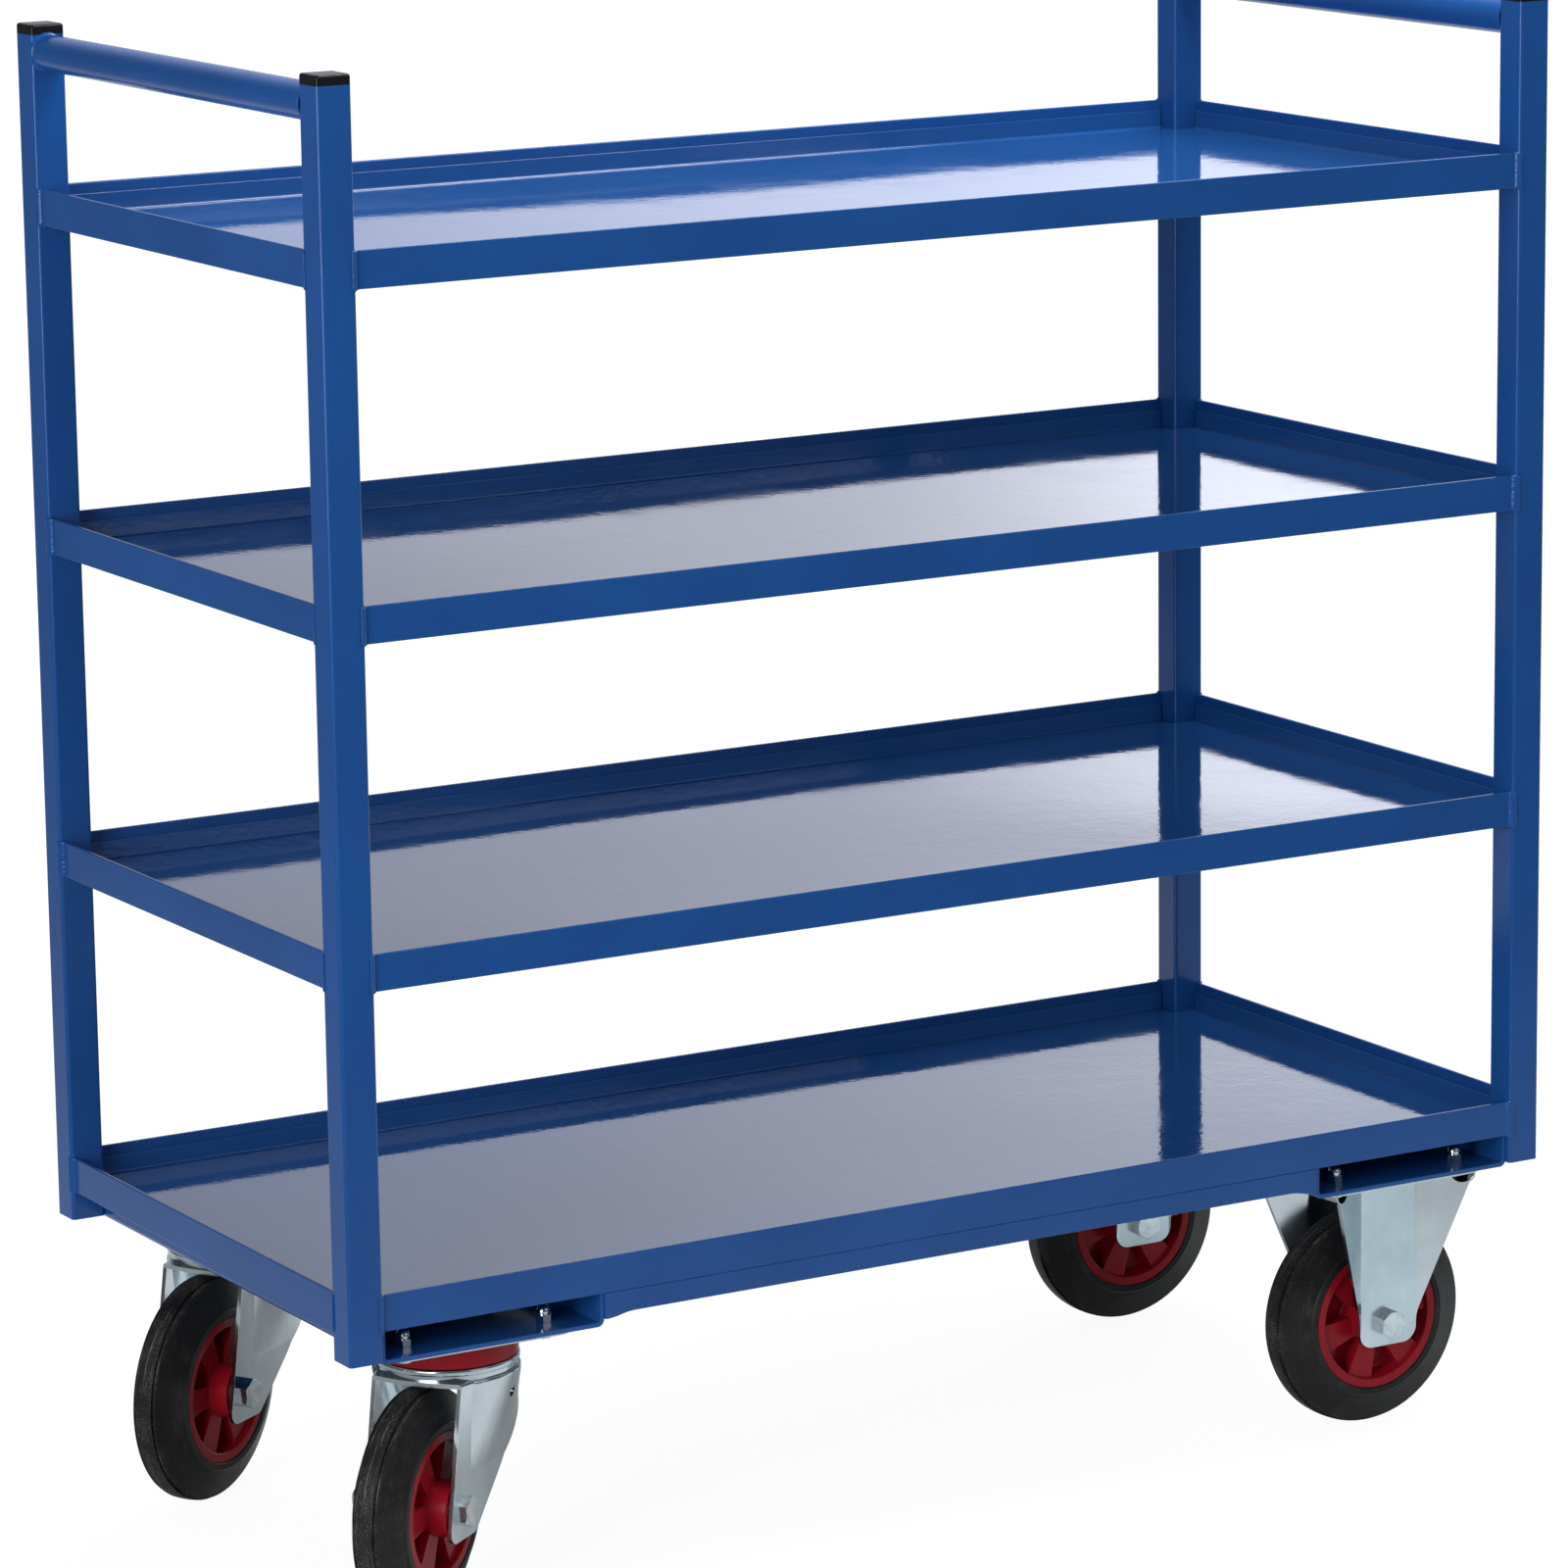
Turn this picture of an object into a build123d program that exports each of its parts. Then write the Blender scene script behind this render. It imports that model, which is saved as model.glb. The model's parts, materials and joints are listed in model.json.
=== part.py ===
from build123d import *
import math
import os

# Shelf trolley: a welded frame of square uprights and angle rails carries four folded trays,
# with two swivel castors at the left end and two fixed castors at the right end.
# Millimetres, X along the length, Y away from the front, Z up, origin on the floor below the middle.

# Uprights, their caps and the push handles
length = 960.0
width = 455.0
upright_side = 25.0
upright_wall = 2.0
upright_corner = 2.5
top_rise = 105.0
cap_height = 7.0
cap_round = 2.0
cap_stem = 16.0
cap_stem_wall = 1.6
cap_stem_gap = 0.1
handle_diameter = 25.0
handle_wall = 2.0

# Shelves: rims of angle rail with a folded tray lying in each
shelf_count = 4
shelf_pitch = 228.0
rail_leg = 25.0
rail_thickness = 3.0
rail_root = 3.0
rail_toe = 1.2
rail_setback = 2.5
cope_gap = 0.5
tray_sheet = 1.5
tray_flange = 14.3
tray_bend = 1.5
tray_gap = 0.5
tray_notch_gap = 1.0

# Channels that carry the castors, and the stiffeners between them
channel_width = 166.5
channel_height = 23.0
channel_sheet = 3.0
channel_bend = 2.0
channel_setback = 4.5
stiffener_sheet = 3.0
stiffener_drop = 15.0
stiffener_flange = 20.0
ogee_run = 24.0

# Castor plates and the bolts that hold them
castor_end = 106.0
castor_side = 68.5
plate_margin = 15.0
plate_thickness = 4.0
plate_corner = 10.0
bolt_pitch_length = 105.0
bolt_pitch_width = 80.0
bolt_diameter = 6.0
bolt_clearance = 1.0
bolt_head_flats = 10.0
bolt_head_height = 4.0
bolt_reach = 8.0
cap_nut_hex = 5.0
cap_nut_height = 12.0
cap_nut_dome = 9.5
cap_nut_tip = 0.4
thread_gap = 0.05
head_chamfer_angle = 30.0

# Wheels
wheel_diameter = 160.0
tyre_width = 40.0
rib_width = 12.4
rib_drop = 0.4
groove_width = 2.6
groove_depth = 2.2
shoulder_drop = 1.6
bead_ring = 4.5
bead_step = 1.2
rim_diameter = 104.0
rim_width = 39.0
rim_ring = 7.0
rim_draft = 2.0
rim_round = 1.2
web_thickness = 8.0
web_root = 3.0
hub_diameter = 37.0
hub_draft = 2.5
hub_play = 1.0
spoke_count = 6
spoke_hub_width = 13.0
spoke_rim_width = 22.0
spoke_thickness = 32.0
bearing_diameter = 28.0
bearing_inset = 1.0
running_gap = 0.05

# Axles
axle_diameter = 12.0
axle_head_flats = 19.0
axle_head_height = 8.0
axle_head_turn = 30.0
axle_nut_height = 10.0
axle_end = 3.0
axle_hole_gap = 0.1
sleeve_diameter = 20.0

# Castor forks and brackets
fork_gap = 60.0
fork_sheet = 3.0

# Swivel castors
trail = 48.0
crown_clearance = 2.5
crown_out = 0.5
crown_round = 2.0
crown_front = 45.5
crown_bow = 4.5
crease_angle = 46.0
fork_lip_out = 0.9
fork_lip_width = 5.0
fork_lip_height = 8.0
fork_lip_rim = 4.5
fork_lip_neck = 2.0
fork_lip_round = 1.5
fork_foot_depth = 20.5
fork_foot_round = 8.0
foot_lead = 18.5
foot_tail = 20.0
fork_back = 41.0
fork_back_run = 34.0
fork_back_rise = 30.0
fork_back_drop = 22.5
fork_hole = 8.0
fork_hole_angle = 96.0
fork_hole_drop = 14.0
kingpin_diameter = 16.0
kingpin_head = 30.0
kingpin_head_height = 5.0
kingpin_chamfer = 1.5
kingpin_play = 0.3
seat_depth = 10.7
race_outer = 80.0
race_bore = 56.0
race_height = 11.5
race_round = 2.5
race_play = 0.3
dust_ring_room = 8.6
dust_ring_seat_gap = 2.0
dust_ring_wall = 2.5
dust_ring_gap = 0.5

# Fixed castors
panel_width = 49.0
bracket_foot_depth = 16.5
bracket_foot_round = 11.0
wing_end_inset = 8.0
wing_side_inset = 1.0
wing_start = 20.0
wing_sweep = 40.0
wing_bend = 5.0
bolt_notch = 14.0

# Angles from the frame's length round to the castors' trailing side, as they stand in the photo
swivel_angle = {"front": 36.0, "back": 32.0}

# Angles from straight down round to a spoke, clockwise from the side of the axle's head
spoke_angle = {"front_left": 28.0, "back_left": 30.0, "front_right": 16.6, "back_right": 22.0}

# How far a cutting tool runs past the faces that it cuts
over = 1.0

# Levels and places that follow from the sizes above
wheel_radius = wheel_diameter / 2
hub_length = fork_gap - 2 * hub_play
bearing_length = hub_length - 2 * bearing_inset
leg_inner = fork_gap / 2
leg_outer = leg_inner + fork_sheet
fork_foot = wheel_radius - fork_foot_depth
bracket_foot = wheel_radius - bracket_foot_depth
crown_height = wheel_diameter + crown_clearance
crown_top = crown_height + fork_sheet
race_top = crown_top + race_height
plate_bottom = race_top + race_play + seat_depth
castor_height = plate_bottom + plate_thickness
plate_length = bolt_pitch_length + 2 * plate_margin
plate_width = bolt_pitch_width + 2 * plate_margin
bolt_hole = bolt_diameter + bolt_clearance
dust_ring_radius = race_outer / 2 + dust_ring_room
fork_lip_radius = dust_ring_radius + fork_lip_out
crown_radius = fork_lip_radius + crown_out
upright_x = (length - upright_side) / 2
upright_y = (width - upright_side) / 2
inner_x = length / 2 - upright_side
inner_y = width / 2 - upright_side
rim_x = length / 2 - rail_setback
rim_y = width / 2 - rail_setback
channel_x = inner_x - channel_width / 2
channel_end = width / 2 - channel_setback
channel_top = castor_height + channel_height
castor_x = length / 2 - castor_end
castor_y = width / 2 - castor_side
rail_bottoms = [channel_top + n * shelf_pitch for n in range(shelf_count)]
upright_bottom = castor_height + channel_sheet
upright_top = rail_bottoms[-1] + rail_leg + top_rise
upright_bore = upright_side - 2 * upright_wall
ends = {"left": -1, "right": 1}
sides = {"front": -1, "back": 1}


def block(x0, x1, y0, y1, z0, z1):
    """Box between two corners."""
    return Pos((x0 + x1) / 2, (y0 + y1) / 2, (z0 + z1) / 2) * Box(x1 - x0, y1 - y0, z1 - z0)


def disc(radius, z0, z1):
    """Upright cylinder on the Z axis between two levels."""
    return Pos(0, 0, (z0 + z1) / 2) * Cylinder(radius, z1 - z0)


def ring(outer, inner, z0, z1):
    """Upright ring on the Z axis between two levels."""
    return disc(outer, z0, z1) - disc(inner, z0, z1)


def hexagon(flats, z0, z1):
    """Hexagonal prism with its upper corners turned off, as on a bolt head."""
    corner = flats / math.sqrt(3)
    turned_off = corner - flats / 2
    prism = Pos(0, 0, z0) * extrude(RegularPolygon(flats / 2, 6, major_radius=False), z1 - z0)
    blank = disc(corner, z0, z1)
    drop = turned_off * math.tan(math.radians(head_chamfer_angle))
    return prism & chamfer(blank.edges().sort_by(Axis.Z)[-1], drop, turned_off)


def rounded(corners, rounds):
    """Flat outline through the corners, some of them rounded: rounds holds a corner and its radius."""
    outline = Polygon(*corners, align=None)
    for corner, radius in rounds:
        outline = fillet(outline.vertices().sort_by_distance(corner)[0], radius)
    return outline


def group(solids):
    """Separate solids that share one node."""
    return Compound(children=list(solids))


# Frame

def upright(sx, sy):
    """Square tube, open at the foot."""
    outside = RectangleRounded(upright_side, upright_side, upright_corner)
    tube = extrude(outside - Rectangle(upright_bore, upright_bore), upright_top - upright_bottom)
    return Pos(sx * upright_x, sy * upright_y, upright_bottom) * tube


def upright_cap(sx, sy):
    """Push-in cap with a hollow stem inside the tube."""
    head = extrude(RectangleRounded(upright_side, upright_side, upright_corner), cap_height)
    head = fillet(head.faces().sort_by(Axis.Z)[-1].edges(), cap_round)
    stem_side = upright_bore - 2 * cap_stem_gap
    stem_bore = stem_side - 2 * cap_stem_wall
    stem = extrude(Rectangle(stem_side, stem_side) - Rectangle(stem_bore, stem_bore), -cap_stem)
    return Pos(sx * upright_x, sy * upright_y, upright_top) * (head + stem)


def handle(sx):
    """Round push bar between two uprights, level with their tops."""
    radius = handle_diameter / 2
    tube = ring(radius, radius - handle_wall, -inner_y, inner_y)
    return Pos(sx * upright_x, 0, upright_top - radius) * Rot(90, 0, 0) * tube


# Shelves

def angle_rail(run):
    """Angle along Y: upright leg outside at x = 0, flat leg inwards along +X at the bottom."""
    root = (rail_thickness, rail_thickness)
    toes = [(rail_leg, rail_thickness), (rail_thickness, rail_leg)]
    section = rounded([(0, 0), (rail_leg, 0), toes[0], root, toes[1], (0, rail_leg)],
                      [(root, rail_root), (toes[0], rail_toe), (toes[1], rail_toe)])
    return extrude(Plane.XZ.offset(run / 2) * section, -run)


def long_rails(bottom):
    """Front and back rails of one rim, between the uprights."""
    for sy in sides.values():
        yield Pos(0, sy * rim_y, bottom) * Rot(0, 0, -sy * 90) * angle_rail(2 * inner_x)


def end_rails(bottom):
    """Left and right rails of one rim, coped at both ends to clear the long rails' flat legs."""
    run = 2 * inner_y
    cope_x = rim_x - inner_x - cope_gap
    cope_y = rim_y - rail_leg - cope_gap
    rail = angle_rail(run)
    for sy in sides.values():
        cope = sorted((sy * cope_y, sy * run))
        rail -= block(cope_x, rail_leg + over, *cope, -over, rail_thickness + over)
    for sx in ends.values():
        yield Pos(sx * rim_x, 0, bottom) * Rot(0, 0, 180 if sx > 0 else 0) * rail


def tray(bottom):
    """Folded pan that lies on the rails, notched round the uprights."""
    half_x = rim_x - rail_thickness - tray_gap
    half_y = rim_y - rail_thickness - tray_gap
    floor = bottom + rail_thickness
    outside = block(-half_x, half_x, -half_y, half_y, floor, floor + tray_flange)
    outside = fillet(outside.faces().sort_by(Axis.Z)[0].edges(), tray_bend + tray_sheet)
    x, y = half_x - tray_sheet, half_y - tray_sheet
    inside = block(-x, x, -y, y, floor + tray_sheet, floor + 2 * tray_flange)
    inside = fillet(inside.faces().sort_by(Axis.Z)[0].edges(), tray_bend)
    pan = outside - inside
    for sx in ends.values():
        for sy in sides.values():
            notch_x = sorted((sx * (inner_x - tray_notch_gap), sx * length))
            notch_y = sorted((sy * (inner_y - tray_notch_gap), sy * width))
            pan -= block(*notch_x, *notch_y, floor - over, floor + 2 * tray_flange)
    return pan


# Under-frame

def bolt_places(sx):
    """Centres of the eight castor bolts of one channel."""
    for sy in sides.values():
        for i in (-1, 1):
            for j in (-1, 1):
                x = sx * castor_x + i * bolt_pitch_length / 2
                y = sy * castor_y + j * bolt_pitch_width / 2
                yield x, y


def castor_channel(sx):
    """Folded channel across the frame, open at the top and at both ends, drilled for two castors."""
    half, bore = channel_width / 2, channel_width / 2 - channel_sheet
    outside = rounded([(-half, 0), (half, 0), (half, channel_height), (-half, channel_height)],
                      [((x, 0), channel_bend + channel_sheet) for x in (-half, half)])
    inside = rounded([(-bore, channel_sheet), (bore, channel_sheet),
                      (bore, 2 * channel_height), (-bore, 2 * channel_height)],
                     [((x, channel_sheet), channel_bend) for x in (-bore, bore)])
    bar = extrude(Plane.XZ.offset(channel_end) * (outside - inside), -2 * channel_end)
    bar = Pos(sx * channel_x, 0, castor_height) * bar
    for x, y in bolt_places(sx):
        bar -= Pos(x, y, 0) * disc(bolt_hole / 2, castor_height - over, upright_bottom + over)
    return bar


def stiffener(sy):
    """Angle under a long rail, with ends that sweep down to the foot of the channels."""
    half = channel_x - channel_width / 2
    flat = half - ogee_run
    bend = half - ogee_run / 2
    foot = castor_height + channel_bend + channel_sheet
    low, high = channel_top - stiffener_drop, channel_top
    with BuildSketch() as face:
        with BuildLine():
            Polyline((-half, foot), (-half, high), (half, high), (half, foot))
            Bezier((half, foot), (bend, foot), (bend, low), (flat, low))
            Line((flat, low), (-flat, low))
            Bezier((-flat, low), (-bend, low), (-bend, foot), (-half, foot))
        make_face()
    web = extrude(Plane.XZ * face.sketch, -stiffener_sheet)
    flange = block(-half, half, stiffener_sheet, stiffener_flange, high - stiffener_sheet, high)
    return Pos(0, sy * rim_y, 0) * Rot(0, 0, 180 if sy > 0 else 0) * (web + flange)


def castor_bolt():
    """Hexagon bolt up through the castor plate and the channel."""
    head = Pos(0, 0, plate_bottom) * Rot(180, 0, 0) * hexagon(bolt_head_flats, 0, bolt_head_height)
    return head + disc(bolt_diameter / 2, plate_bottom, upright_bottom + bolt_reach)


def castor_cap_nut():
    """Domed nut that stands inside the channel."""
    dome = disc(cap_nut_dome / 2, 0, cap_nut_height)
    dome = fillet(dome.edges().sort_by(Axis.Z)[-1], (cap_nut_dome - cap_nut_tip) / 2)
    base = Pos(0, 0, cap_nut_hex) * Rot(180, 0, 0) * hexagon(bolt_head_flats, 0, cap_nut_hex)
    nut = base + dome - disc(bolt_diameter / 2 + thread_gap, -over, bolt_reach + thread_gap)
    return Pos(0, 0, upright_bottom) * nut


# Castors, modelled with the swivel axis on Z, the axle along Y and its bolt head on the +Y side

def castor_plate():
    """Mounting plate with four bolt holes."""
    plate = extrude(RectangleRounded(plate_length, plate_width, plate_corner), plate_thickness)
    for i in (-1, 1):
        for j in (-1, 1):
            hole = disc(bolt_hole / 2, -over, plate_thickness + over)
            plate -= Pos(i * bolt_pitch_length / 2, j * bolt_pitch_width / 2, 0) * hole
    return Pos(0, 0, plate_bottom) * plate


def along_axle(solid, x):
    """Turn a solid from the Z axis to the axle, which lies along Y at a distance x."""
    return Pos(x, 0, wheel_radius) * Rot(-90, 0, 0) * solid


def axle_hole(x):
    """Tool that drills both legs for the axle bolt."""
    return along_axle(disc(axle_diameter / 2 + axle_hole_gap, -2 * leg_outer, 2 * leg_outer), x)


def axle_bolt(x):
    """Hexagon bolt through both legs."""
    head = Rot(0, 0, axle_head_turn) * hexagon(axle_head_flats, leg_outer, leg_outer + axle_head_height)
    shank = disc(axle_diameter / 2, -leg_outer - axle_nut_height - axle_end, leg_outer)
    return along_axle(head + shank, x)


def axle_nut(x):
    """Nut on the axle bolt's far end."""
    nut = hexagon(axle_head_flats, leg_outer, leg_outer + axle_nut_height)
    nut -= disc(axle_diameter / 2 + thread_gap, leg_outer - over, leg_outer + axle_nut_height + over)
    return along_axle(Rot(180, 0, 0) * nut, x)


def axle_sleeve(x):
    """Spacer clamped between the legs, on which the roller bearing turns."""
    bore = axle_diameter / 2 + axle_hole_gap
    return along_axle(ring(sleeve_diameter / 2, bore, -leg_inner, leg_inner), x)


def roller_bearing(x):
    """Caged rollers pressed into the hub, as one ring."""
    bore = sleeve_diameter / 2 + running_gap
    return along_axle(ring(bearing_diameter / 2, bore, -bearing_length / 2, bearing_length / 2), x)


def tyre(x):
    """Solid rubber tyre: a middle rib between two grooves, straight flanks and a bead beside the rim."""
    bead, bead_edge, side = rim_diameter / 2, rim_width / 2, tyre_width / 2
    bead_top = bead + bead_ring
    rib = rib_width / 2
    rib_edge = wheel_radius - rib_drop
    floor = rib_edge - groove_depth
    shoulder = rib + groove_width
    shoulder_top = wheel_radius - shoulder_drop
    flank_foot = (bead_top + bead_step, side - bead_step)
    with BuildSketch() as section:
        with BuildLine() as outline:
            Polyline((bead, 0), (bead, bead_edge), (bead + side - bead_edge, side), (bead_top, side),
                     flank_foot, (shoulder_top, shoulder), (floor, shoulder), (floor, rib), (rib_edge, rib))
            ThreePointArc((rib_edge, rib), (wheel_radius, 0), (rib_edge, -rib))
            mirror(outline.edges().filter_by(lambda edge: edge.center().Y > 0), about=Plane.XZ)
        make_face()
    return Pos(x, 0, wheel_radius) * revolve(section.sketch, Axis.Y)


def wheel_centre(x, angle):
    """Moulded centre: outer ring, thin web, spokes that widen towards the ring, and a long hub."""
    outer, ring_bore = rim_diameter / 2, rim_diameter / 2 - rim_ring
    ring_root = ring_bore - rim_draft
    hub, hub_bore = hub_diameter / 2, bearing_diameter / 2
    hub_root = hub + hub_draft
    face, web, hub_end = rim_width / 2, web_thickness / 2, hub_length / 2
    upper = [(hub_bore, hub_end), (hub, hub_end), (hub_root, web), (ring_root, web), (ring_bore, face),
             (outer, face)]
    lower = [(r, -w) for r, w in reversed(upper)]
    roots = [((r, w), web_root) for r in (hub_root, ring_root) for w in (web, -web)]
    edges = [((r, w), rim_round) for r in (ring_bore, outer) for w in (face, -face)]
    body = revolve(Plane.XZ * rounded(upper + lower, roots + edges), Axis.Z)
    start, stop = (hub + hub_bore) / 2, ring_bore + rim_ring / 2
    narrow, wide = spoke_hub_width / 2, spoke_rim_width / 2
    plan = Polygon((start, -narrow), (stop, -wide), (stop, wide), (start, narrow), align=None)
    spoke = extrude(plan, spoke_thickness / 2, both=True)
    for n in range(spoke_count):
        body += Rot(0, 0, 90 - angle + n * 360 / spoke_count) * spoke
    return along_axle(body, x)


def swivel_plate():
    """Mounting plate with the upper bearing seat below its middle."""
    seat = disc(race_outer / 2, plate_bottom - seat_depth, plate_bottom)
    return castor_plate() + seat - disc(kingpin_diameter / 2 + running_gap, 0, castor_height + over)


def kingpin():
    """Rivet that holds the fork up to the plate."""
    head_top = crown_height - kingpin_play
    pin = disc(kingpin_diameter / 2, head_top, castor_height)
    head = disc(kingpin_head / 2, head_top - kingpin_head_height, head_top)
    return pin + chamfer(head.edges().sort_by(Axis.Z)[0], kingpin_chamfer)


def swivel_bearing():
    """Ball race on the fork's crown, as one ring."""
    cage = ring(race_outer / 2, race_bore / 2, crown_top, race_top)
    return fillet(cage.faces().sort_by(Axis.Z)[-1].edges(), race_round)


def dust_ring():
    """Cover ring that hangs from the plate over the swivel bearing."""
    low = crown_top + fork_lip_height + dust_ring_gap
    flange_bore = race_outer / 2 + dust_ring_seat_gap
    band = ring(dust_ring_radius, dust_ring_radius - dust_ring_wall, low, plate_bottom)
    return band + ring(dust_ring_radius, flange_bore, plate_bottom - dust_ring_wall, plate_bottom)


def crown_crease(radius):
    """Point on a circle round the swivel axis where the fork's round side turns into its front strip."""
    angle = math.radians(crease_angle)
    return radius * math.cos(angle), radius * math.sin(angle)


def fork_leg():
    """Leg on the +Y side: it follows the round crown at the top and lies flat round the axle."""
    flat_top = wheel_radius + fork_foot_depth
    outer, inner = crown_radius, crown_radius - fork_sheet
    crease, inner_crease = crown_crease(outer), crown_crease(inner)
    rear = (-fork_back, math.sqrt(outer ** 2 - fork_back ** 2))
    inner_rear = (-fork_back, math.sqrt(inner ** 2 - fork_back ** 2))
    foot_front, foot_back = trail + foot_lead, trail - foot_tail
    share = (flat_top - fork_foot) / (crown_height - fork_foot)
    knee_front = foot_front + (crown_front - foot_front) * share
    knee_back = -crown_radius
    level, knee = Plane.XY.offset(crown_height), Plane.XY.offset(flat_top)
    knee_crease = [(inner_crease[0], leg_inner), (crease[0], leg_outer)]
    with BuildSketch(level) as round_top:
        with BuildLine():
            ThreePointArc(crease, (0, outer), rear)
            Line(rear, inner_rear)
            ThreePointArc(inner_rear, (0, inner), inner_crease)
            Line(inner_crease, crease)
        make_face()
    round_knee = Polygon(*knee_crease, (knee_back, leg_outer), (knee_back, leg_inner), align=None)
    strip_top = Polygon(inner_crease, crease, (crown_front, leg_outer), (crown_front, leg_inner), align=None)
    strip_knee = Polygon(*knee_crease, (knee_front, leg_outer), (knee_front, leg_inner), align=None)
    with BuildSketch(Plane.XZ.offset(-leg_inner)) as foot:
        Polygon((foot_front, fork_foot), (knee_front, flat_top), (knee_back, flat_top),
                (knee_back, fork_foot), align=None)
    leg = loft([round_top.sketch, knee * round_knee], ruled=True)
    leg += loft([level * strip_top, knee * strip_knee], ruled=True)
    leg += extrude(foot.sketch, -fork_sheet)
    heel = (foot_back, fork_foot)
    waist = (foot_back - fork_back_run, fork_foot + fork_back_rise)
    shoulder = (-fork_back, crown_height - fork_back_drop)
    beyond = 2 * knee_back
    with BuildSketch(Plane.XZ) as waste:
        with BuildLine():
            Line(heel, waist)
            TangentArc(waist, shoulder, tangent=(-fork_back_run, fork_back_rise))
            Polyline(shoulder, (-fork_back, crown_height), (beyond, crown_height), (beyond, 0),
                     (foot_back, 0), heel)
        make_face()
    leg -= extrude(waste.sketch, -2 * crown_radius, both=True)
    lowest = leg.edges().filter_by(Axis.Y).sort_by(Axis.Z)[:2]
    return fillet(lowest, fork_foot_round)


def fork_lip():
    """Rolled rim on the crown, with a set-in neck below it."""
    top = crown_top + fork_lip_height
    rim = disc(fork_lip_radius, top - fork_lip_rim, top)
    rim = fillet(rim.edges().filter_by(GeomType.CIRCLE), fork_lip_round)
    neck = disc(fork_lip_radius - fork_lip_neck, crown_top, top - fork_lip_rim)
    return rim + neck - disc(fork_lip_radius - fork_lip_width, crown_top - over, top + over)


def swivel_fork():
    """Pressed fork: round crown with a bowed edge at the trailing side, a rolled lip and two legs."""
    crease_x, crease_y = crown_crease(crown_radius)
    with BuildSketch(Plane.XY.offset(crown_height)) as outline:
        with BuildLine():
            ThreePointArc((crown_front, -leg_outer), (crown_front + crown_bow, 0), (crown_front, leg_outer))
            Line((crown_front, leg_outer), (crease_x, crease_y))
            ThreePointArc((crease_x, crease_y), (-crown_radius, 0), (crease_x, -crease_y))
            Line((crease_x, -crease_y), (crown_front, -leg_outer))
        make_face()
    crown = extrude(outline.sketch, fork_sheet)
    bent = crown.faces().sort_by(Axis.Z)[-1].edges().sort_by(Axis.X)[:-1]
    crown = fillet(bent, crown_round)
    leg = fork_leg()
    fork = crown + fork_lip() + leg + mirror(leg, Plane.XZ)
    fork -= disc(kingpin_diameter / 2 + running_gap, crown_height - over, crown_top + over)
    hole = Rot(0, 90, 0) * disc(fork_hole / 2, 0, 2 * crown_radius)
    for angle in (-fork_hole_angle, fork_hole_angle):
        fork -= Pos(0, 0, crown_height - fork_hole_drop) * Rot(0, 0, angle) * hole
    return fork - axle_hole(trail)


def bracket_side():
    """One side of the bracket: a panel with its edges bent out to wings, cut to a foot below."""
    edge = panel_width / 2
    run = plate_length / 2 - edge - wing_end_inset
    flare = plate_width / 2 - leg_outer - wing_side_inset
    turn = math.atan2(flare, run)
    bend, tip = (edge, leg_inner), (edge + run, leg_inner + flare)
    outer_bend = (edge - fork_sheet * math.tan(turn / 2), leg_outer)
    outer_tip = (tip[0] - fork_sheet * math.sin(turn), tip[1] + fork_sheet * math.cos(turn))
    half = [bend, tip, outer_tip, outer_bend]
    bends = [((s * bend[0], bend[1]), wing_bend + fork_sheet) for s in (-1, 1)]
    bends += [((s * outer_bend[0], outer_bend[1]), wing_bend) for s in (-1, 1)]
    plan = rounded(half + [(-x, y) for x, y in reversed(half)], bends)
    sheet = Pos(0, 0, bracket_foot) * extrude(plan, plate_bottom - bracket_foot)
    start = bracket_foot + wing_start
    half = [(edge, bracket_foot), (edge, start), (tip[0], plate_bottom)]
    corners = [((s * edge, bracket_foot), bracket_foot_round) for s in (-1, 1)]
    corners += [((s * edge, start), wing_sweep) for s in (-1, 1)]
    outline = rounded(half + [(-x, z) for x, z in reversed(half)], corners)
    side = sheet & extrude(Plane.XZ * outline, plate_width, both=True)
    notch = Rot(90, 0, 0) * disc(bolt_notch / 2, -plate_width, plate_width)
    for s in (-1, 1):
        side -= Pos(s * bolt_pitch_length / 2, 0, plate_bottom) * notch
    return side


def fixed_bracket():
    """Pressed bracket: plate and two sides, each a flat panel between flared wings."""
    side = bracket_side()
    return castor_plate() + side + mirror(side, Plane.XZ) - axle_hole(0)


# Build every node

nodes = {}
for side_name, sy in sides.items():
    for end_name, sx in ends.items():
        nodes[f"upright_{side_name}_{end_name}"] = upright(sx, sy)
    nodes[f"stiffener_{side_name}"] = stiffener(sy)
nodes["upright_caps"] = group(upright_cap(sx, sy) for sx in ends.values() for sy in sides.values())
for end_name, sx in ends.items():
    nodes[f"handle_{end_name}"] = handle(sx)
    nodes[f"castor_channel_{end_name}"] = castor_channel(sx)
for n, bottom in enumerate(rail_bottoms, start=1):
    nodes[f"long_rails_{n}"] = group(long_rails(bottom))
    nodes[f"end_rails_{n}"] = group(end_rails(bottom))
    nodes[f"tray_{n}"] = tray(bottom)

bolt_centres = [place for sx in ends.values() for place in bolt_places(sx)]
nodes["castor_bolts"] = group(Pos(x, y, 0) * castor_bolt() for x, y in bolt_centres)
nodes["castor_cap_nuts"] = group(Pos(x, y, 0) * castor_cap_nut() for x, y in bolt_centres)

# Both kinds of castor have their axle heads towards the front
fixed_places = {}
swivel_places = {}
for name, sy in sides.items():
    fixed_places[name] = Pos(castor_x, sy * castor_y, 0) * Rot(0, 0, 180)
    swivel_places[name] = Pos(-castor_x, sy * castor_y, 0) * Rot(0, 0, 180 + swivel_angle[name])

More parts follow.
